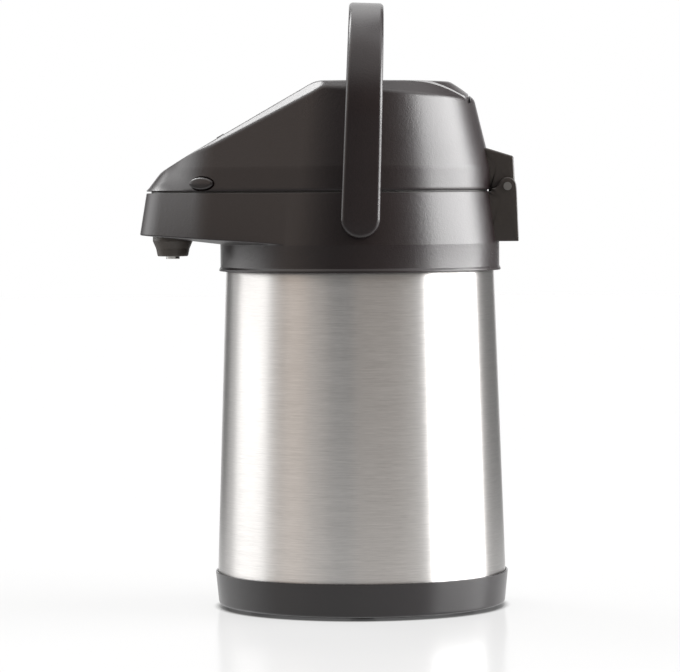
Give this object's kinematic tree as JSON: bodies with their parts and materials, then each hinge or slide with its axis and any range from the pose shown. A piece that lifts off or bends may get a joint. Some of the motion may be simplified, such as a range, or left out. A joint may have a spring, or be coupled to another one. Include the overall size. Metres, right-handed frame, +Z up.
{
  "type": "airpot",
  "caption": "Steel vacuum airpot with a pump lid on a rear hinge, a spout under the nose, a bail handle, release buttons and a swivel foot.",
  "frame": {"origin": "on the table, on the axis of the vessel, at the face of the middle foot pad", "axes": "+Z up; the spout points along -Y and the lid's hinge is at +Y; the handle's pivots lie along X"},
  "size_m": [0.174, 0.2137, 0.3406],
  "materials": {
    "body_plastic": "fine grained brown-black moulding",
    "base_plastic": "smooth black moulding",
    "trim_plastic": "satin brown-black moulding",
    "inner_plastic": "smooth dark grey moulding",
    "slick_plastic": "waxy off-white moulding",
    "brushed_shell": "brushed round the axis",
    "inner_steel": "satin drawn steel",
    "tube_steel": "bright drawn tube",
    "screw_steel": "plain machined steel",
    "spring_steel": "bare wire",
    "soft_rubber": "matt black rubber",
    "bellows_rubber": "grey silicone rubber"
  },
  "bodies": {
    "pot": {"base_cup": "base_plastic", "base_standoffs": "screw_steel", "base_screws": "screw_steel", "swivel_screw": "screw_steel", "outer_shell": "brushed_shell", "shell_bottom": "inner_steel", "inner_liner": "inner_steel", "liner_bottom": "inner_steel", "neck_ring": "inner_steel", "collar": "body_plastic", "collar_nut": "inner_plastic", "mouth_gasket": "soft_rubber", "tube_flange": "inner_plastic", "plug_seal": "soft_rubber", "dip_tube": "tube_steel", "pour_elbow": "inner_plastic", "pipe_seal": "soft_rubber", "pour_pipe": "inner_plastic", "spout_nozzle": "body_plastic", "spout_tip": "tube_steel", "hinge_bracket": "body_plastic", "hinge_screws": "screw_steel", "hinge_pin": "screw_steel", "handle_pins": "screw_steel", "latch_keepers": "screw_steel"},
    "swivel_foot": {"swivel_plate": "base_plastic", "foot_pads": "soft_rubber", "glide_ring": "slick_plastic"},
    "lid": {"lid_shell": "body_plastic", "lid_cover": "inner_plastic", "lid_screws": "screw_steel", "lid_hinge_arm": "body_plastic", "hinge_arm_screws": "screw_steel", "plate_pivot_pin": "screw_steel", "bellows": "bellows_rubber", "bellows_spring": "spring_steel", "bellows_base": "inner_plastic", "intake_flap": "bellows_rubber", "outlet_seal": "soft_rubber", "release_spring_right": "spring_steel", "release_spring_left": "spring_steel"},
    "pump_plate": {"push_plate": "body_plastic", "press_pad": "inner_plastic"},
    "button_right": {"release_button_right": "trim_plastic"},
    "button_left": {"release_button_left": "trim_plastic"},
    "travel_lock": {"lock_slider": "trim_plastic"},
    "handle": {"handle_bail": "body_plastic", "pivot_washers": "slick_plastic"}
  },
  "joints": [
    {"name": "lid_open", "type": "hinge", "parent": "pot", "child": "lid", "pos_m": [0, 0.083, 0.2374], "axis": [-1, 0, 0], "range_deg": [0, 15]},
    {"name": "pump_press", "type": "hinge", "parent": "lid", "child": "pump_plate", "pos_m": [0, 0.054, 0.283], "axis": [1, 0, 0], "range_deg": [0, 12], "stiffness_Nm_per_rad": 8, "springref_deg": -3.44, "deforming": ["bellows", "bellows_spring"]},
    {"name": "button_right_push", "type": "slide", "parent": "lid", "child": "button_right", "axis": [-0.829, 0.5592, 0], "range_m": [0, 0.003], "stiffness_N_per_m": 250, "springref_m": -0.003, "deforming": ["release_spring_right"]},
    {"name": "button_left_push", "type": "slide", "parent": "lid", "child": "button_left", "axis": [0.829, 0.5592, 0], "range_m": [0, 0.003], "stiffness_N_per_m": 250, "springref_m": -0.003, "deforming": ["release_spring_left"]},
    {"name": "lock_slide", "type": "slide", "parent": "lid", "child": "travel_lock", "axis": [1, 0, 0], "range_m": [-0.006, 0]},
    {"name": "handle_swing", "type": "hinge", "parent": "pot", "child": "handle", "pos_m": [0, 0, 0.2202], "axis": [-1, 0, 0], "range_deg": [-70, 125]},
    {"name": "foot_swivel", "type": "hinge", "parent": "pot", "child": "swivel_foot", "pos_m": [0, 0, 0.001], "axis": [0, 0, 1], "continuous": true}
  ]
}
